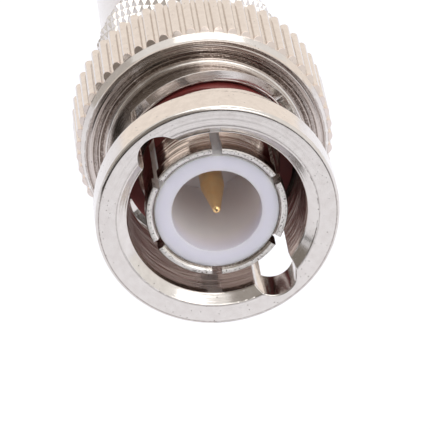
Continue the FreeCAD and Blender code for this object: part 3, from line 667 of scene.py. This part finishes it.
def new_piece(name, vertices, faces, material, body):
    """A mesh piece with smooth walls, which rides on a body."""
    mesh = bpy.data.meshes.new(name)
    mesh.from_pydata(vertices, [], faces)
    mesh.validate()
    mesh.materials.append(material)
    piece = bpy.data.objects.new(name, mesh)
    bpy.context.scene.collection.objects.link(piece)
    smooth_walls(piece)
    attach(piece, body)
    return piece


def on_ring(radius, turn, y):
    return (radius * math.cos(turn), y, radius * math.sin(turn))


def arc(middle_radius, middle_y, radius, start, end, steps):
    """Points (radius, y) on an arc of an outline, with its angles in degrees from outwards to backwards."""
    points = []
    for step in range(steps + 1):
        angle = math.radians(start + (end - start) * step / steps)
        points.append((middle_radius + radius * math.cos(angle), middle_y + radius * math.sin(angle)))
    return points


def lathe(outline, steps):
    """Vertices and faces of a closed outline of (radius, y) points turned about the plug's axis."""
    vertices = [on_ring(radius, TURN * step / steps, y) for radius, y in outline for step in range(steps)]
    faces = []
    for row in range(len(outline)):
        near = row * steps
        far = (row + 1) % len(outline) * steps
        for step in range(steps):
            after = (step + 1) % steps
            faces.append((near + step, far + step, far + after, near + after))
    return vertices, faces


SHELL_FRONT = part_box("back_shell")[0].y
SHELL_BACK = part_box("back_shell")[1].y
GRIP_RADIUS = 5.5 * MM
GRIP_LENGTH = 6.4 * MM
GRIP_BEVEL = 1.5 * MM
BARREL_RADIUS = 4.87 * MM
BARREL_ROUND = 0.8 * MM
BARREL_ROUND_STEPS = 10
CABLE_RADIUS = 2.75 * MM
CABLE_FLARE = 0.6 * MM
THREAD_BORE = 4.0 * MM
NOSE_RADIUS = 3.25 * MM
NOSE_FRONT = SHELL_FRONT + 3.93 * MM
THREAD_END = SHELL_FRONT + 5.22 * MM
DIAMONDS_ROUND = 37
DIAMOND_STEPS = 8
GROOVE_DEPTH = 0.28 * MM
GROOVE_SHARE = 0.42


def grip_radius(y):
    """Radius of the grip before its grooves are cut: a chamfer, a straight part and a bevel to the barrel."""
    behind_front = y - SHELL_FRONT
    chamfered = GRIP_RADIUS - GROOVE_DEPTH + behind_front
    slope = (GRIP_RADIUS - BARREL_RADIUS) / GRIP_BEVEL
    bevelled = GRIP_RADIUS - slope * (behind_front - GRIP_LENGTH)
    return max(min(chamfered, GRIP_RADIUS, bevelled), BARREL_RADIUS)


def diamond_radius(step, row):
    """Radius of the grip where two sets of crossed V-grooves cut it, at whole steps round and along."""
    nearest = 1.0
    for groove in ((step + row) / DIAMOND_STEPS, (step - row) / DIAMOND_STEPS):
        nearest = min(nearest, abs(groove - round(groove)))
    return GRIP_RADIUS - GROOVE_DEPTH * max(0.0, 1 - nearest / GROOVE_SHARE)


def back_shell(materials):
    """The screwed shell: a grip with crossed grooves, a smooth barrel and a flared cable entry."""
    steps = DIAMONDS_ROUND * DIAMOND_STEPS
    row_length = TURN * GRIP_RADIUS / steps
    grip_points = round((GRIP_LENGTH + GRIP_BEVEL) / row_length) + 1
    outline = []
    for row in range(grip_points):
        y = SHELL_FRONT + row * row_length
        outline.append((grip_radius(y), y))
    round_start = SHELL_BACK - BARREL_ROUND
    outline += arc(BARREL_RADIUS - BARREL_ROUND, round_start, BARREL_ROUND, 0, 90, BARREL_ROUND_STEPS)
    outline += [
        (CABLE_RADIUS + CABLE_FLARE, SHELL_BACK),
        (CABLE_RADIUS, SHELL_BACK - CABLE_FLARE),
        (CABLE_RADIUS, NOSE_FRONT),
        (NOSE_RADIUS, NOSE_FRONT),
        (NOSE_RADIUS, THREAD_END),
        (THREAD_BORE, THREAD_END),
        (THREAD_BORE, SHELL_FRONT),
    ]
    vertices, faces = lathe(outline, steps)
    for row in range(grip_points):
        radius, y = outline[row]
        for step in range(steps):
            cut = min(radius, diamond_radius(step, row))
            vertices[row * steps + step] = on_ring(cut, TURN * step / steps, y)
    # A face that a groove crosses is split along it, so that the groove's bottom is one sharp line.
    split = []
    for row in range(grip_points - 1):
        for step in range(steps):
            near, far, far_after, near_after = faces[row * steps + step]
            if (step - row) % DIAMOND_STEPS == 0:
                split += [(near, far, far_after), (near, far_after, near_after)]
            else:
                split += [(near, far, near_after), (far, far_after, near_after)]
    faces = split + faces[(grip_points - 1) * steps:]
    piece = new_piece("back_shell_knurled", vertices, faces, materials["nickel"], "plug")
    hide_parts("back_shell")


SPRING_INNER = 4.11 * MM
SPRING_OUTER = 4.72 * MM
SPRING_HEIGHT = 1.1 * MM
SPRING_THICKNESS = 0.25 * MM
SPRING_WAVES = 3
SPRING_STEPS = 180
SPRING_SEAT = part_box("wave_washer")[0].y


def wave_washer(materials):
    """The spring washer behind the flange, a ring with three waves; here it doesn't flatten as the nut is
    pushed.
    """
    swing = (SPRING_HEIGHT - SPRING_THICKNESS) / 2
    middle = SPRING_SEAT + SPRING_HEIGHT / 2
    corners = [
        (SPRING_INNER, -SPRING_THICKNESS / 2),
        (SPRING_INNER, SPRING_THICKNESS / 2),
        (SPRING_OUTER, SPRING_THICKNESS / 2),
        (SPRING_OUTER, -SPRING_THICKNESS / 2),
    ]
    vertices, faces = lathe(corners, SPRING_STEPS)
    raised = []
    for index, (x, y, z) in enumerate(vertices):
        turn = TURN * (index % SPRING_STEPS) / SPRING_STEPS
        raised.append((x, middle + swing * math.cos(SPRING_WAVES * turn) + y, z))
    piece = new_piece(
        "wave_washer_spring", raised, faces, materials["spring_steel"], "plug"
    )
    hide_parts("wave_washer")
    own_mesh(piece)


add_camera()
add_floor()
add_world()
add_table_edge()
for card in CARDS:
    add_card(*card)
for lamp in LAMPS:
    add_lamp(*lamp)
materials = make_materials()
finish_cad_nodes(materials)
back_shell(materials)
wave_washer(materials)

view = bpy.context.scene.view_settings
view.view_transform = "Standard"
